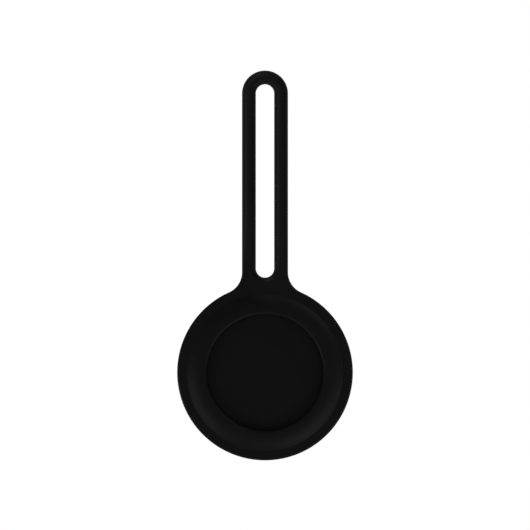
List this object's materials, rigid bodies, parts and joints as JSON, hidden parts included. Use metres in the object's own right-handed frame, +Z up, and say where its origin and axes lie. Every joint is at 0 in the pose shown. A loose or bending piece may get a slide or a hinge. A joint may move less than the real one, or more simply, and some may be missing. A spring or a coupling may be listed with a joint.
{
  "type": "tracker tag holder",
  "caption": "Silicone holder for a coin-shaped tracker tag: a round pouch with a front window on a long slotted strap that loops through a ring or handle.",
  "frame": {"origin": "inside top of the strap's slot, on the strap's mid-plane, where a ring or handle carries it", "axes": "+Z up along the strap, the pouch's window faces -Y, +X to the viewer's right"},
  "size_m": [0.04, 0.0113, 0.0887],
  "materials": {
    "silicone": "matt black silicone with a soft bloom",
    "tag_casing": "fine-textured black moulded plastic",
    "tray_plastic": "natural white moulded plastic",
    "cover_steel": "polished and finely spun stainless steel",
    "cell_steel": "nickel-plated drawn steel",
    "cell_filling": "pressed electrode pack",
    "gasket": "matt grey sealing rubber",
    "spring_metal": "gold-flashed spring bronze",
    "copper": "bare copper",
    "board_laminate": "green lacquered laminate",
    "chip_resin": "moulded chip resin",
    "magnet_plating": "bright nickel plating",
    "yoke_steel": "zinc-plated pressed steel"
  },
  "bodies": {
    "loop": {"strap_loop": "silicone", "strap_strands": "silicone"},
    "pouch": {"pouch": "silicone", "window_lip": "silicone"},
    "tag": {"face_shell": "tag_casing", "inner_tray": "tray_plastic", "cover_seal": "gasket", "cell_can": "cell_steel", "cell_cap": "cell_steel", "cell_core": "cell_filling", "cell_seal": "gasket", "cap_contact": "spring_metal", "can_contacts": "spring_metal", "circuit_board": "board_laminate", "antenna_strip": "copper", "board_chips": "chip_resin", "voice_coil": "copper", "speaker_magnet": "magnet_plating", "speaker_yoke": "yoke_steel"},
    "cover": {"battery_cover": "cover_steel", "bayonet_ring": "tray_plastic"}
  },
  "joints": [
    {"name": "strap_bend", "type": "hinge", "parent": "loop", "child": "pouch", "pos_m": [0, 0, -0.03188], "axis": [1, 0, 0], "range_deg": [-120, 120], "stiffness_Nm_per_rad": 0.0011, "deforming": ["strap_strands"]},
    {"name": "tag_pop_out", "type": "slide", "parent": "pouch", "child": "tag", "axis": [0, -1, 0], "range_m": [0, 0.014], "deforming": ["window_lip"]},
    {"name": "cover_twist", "type": "hinge", "parent": "tag", "child": "cover", "pos_m": [0, 0.0062, -0.06554], "axis": [0, 1, 0], "range_deg": [0, 35]}
  ]
}
